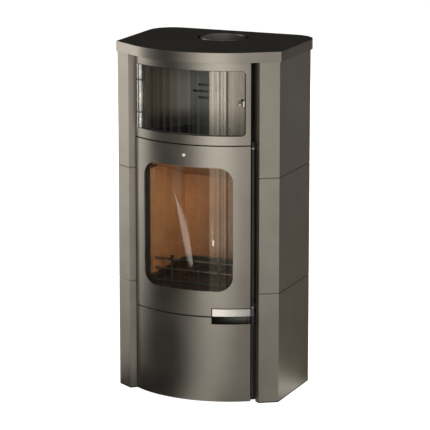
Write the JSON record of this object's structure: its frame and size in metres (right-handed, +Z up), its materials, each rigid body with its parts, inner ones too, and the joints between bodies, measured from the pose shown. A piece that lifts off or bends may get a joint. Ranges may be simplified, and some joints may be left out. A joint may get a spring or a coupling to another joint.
{
  "type": "wood-burning stove",
  "caption": "Tall free-standing wood stove with stone side cladding, curved steel front, glazed fire door, log door below and glazed warming compartment above.",
  "frame": {"origin": "on the floor, under the middle of the top plate", "axes": "+X to the right as seen from the front, +Y to the back, +Z up"},
  "size_m": [0.572, 0.47, 1.15],
  "materials": {
    "steel": "satin metallic grey-brown stove paint",
    "stone": "honed grey-brown stone",
    "top_steel": "satin dark stove paint",
    "inner_steel": "matt black stove paint",
    "compartment_steel": "satin grey stove paint",
    "lining": "matt pressed vermiculite board",
    "iron": "matt cast",
    "bright": "finely brushed stainless steel",
    "zinc": "zinc plated",
    "glass": "clear curved glass",
    "fire_glass": "clear curved ceramic glass",
    "rope": "knitted glass fibre rope"
  },
  "bodies": {
    "stove": {"base_plate": "steel", "levelling_feet": "iron", "casing": "steel", "rear_panel": "steel", "rear_panel_screws": "zinc", "air_inlet_pipe": "zinc", "front_frame": "inner_steel", "firebox": "inner_steel", "lining_back": "lining", "lining_left": "lining", "lining_right": "lining", "fire_floor": "iron", "baffle": "lining", "grate": "iron", "air_box": "inner_steel", "air_slide_guides": "zinc", "ash_pan": "zinc", "ash_runners": "zinc", "log_guard": "iron", "log_bin": "inner_steel", "flue_spigot": "inner_steel", "top_plate": "top_steel", "top_brackets": "zinc", "top_screws": "zinc", "stone_left_lower": "stone", "stone_left_middle": "stone", "stone_left_upper": "stone", "stone_right_lower": "stone", "stone_right_middle": "stone", "stone_right_upper": "stone", "stone_dowels": "zinc", "compartment_frame": "steel", "compartment_liner": "compartment_steel", "glass_hinge_knuckles": "bright", "glass_hinge_pin": "zinc", "door_hinge_lugs": "steel", "door_hinge_pins": "zinc", "latch_keepers": "zinc", "magnet_catch": "inner_steel"},
    "fire_door": {"fire_door_skin": "steel", "fire_door_frame": "inner_steel", "fire_glass": "fire_glass", "glass_clips": "zinc", "door_rope": "rope", "door_stud": "bright"},
    "handle": {"handle_bar": "steel", "handle_grip": "bright", "latch_hooks": "zinc"},
    "log_door": {"log_door_skin": "steel", "log_door_frame": "inner_steel", "finger_recess": "inner_steel", "catch_plate": "zinc"},
    "glass_door": {"compartment_glass": "glass", "glass_hinge_sleeve": "bright", "knob_clamp": "bright", "glass_knob": "bright"},
    "air_control": {"air_slide": "zinc", "air_knob": "bright"}
  },
  "joints": [
    {"name": "fire_door_swing", "type": "hinge", "parent": "stove", "child": "fire_door", "pos_m": [-0.1939, -0.1329, 0.3], "axis": [0, 0, -1], "range_deg": [0, 95]},
    {"name": "handle_turn", "type": "hinge", "parent": "fire_door", "child": "handle", "pos_m": [0.202, -0.13979, 0.3], "axis": [0, 0, 1], "range_deg": [0, 35]},
    {"name": "log_door_swing", "type": "hinge", "parent": "stove", "child": "log_door", "pos_m": [-0.1939, -0.1329, 0.3], "axis": [0, 0, -1], "range_deg": [0, 95]},
    {"name": "glass_door_swing", "type": "hinge", "parent": "stove", "child": "glass_door", "pos_m": [-0.1869, -0.14492, 0.98], "axis": [0, 0, -1], "range_deg": [0, 95]},
    {"name": "air_slide_travel", "type": "slide", "parent": "stove", "child": "air_control", "axis": [1, 0, 0], "range_m": [0, 0.04]}
  ]
}
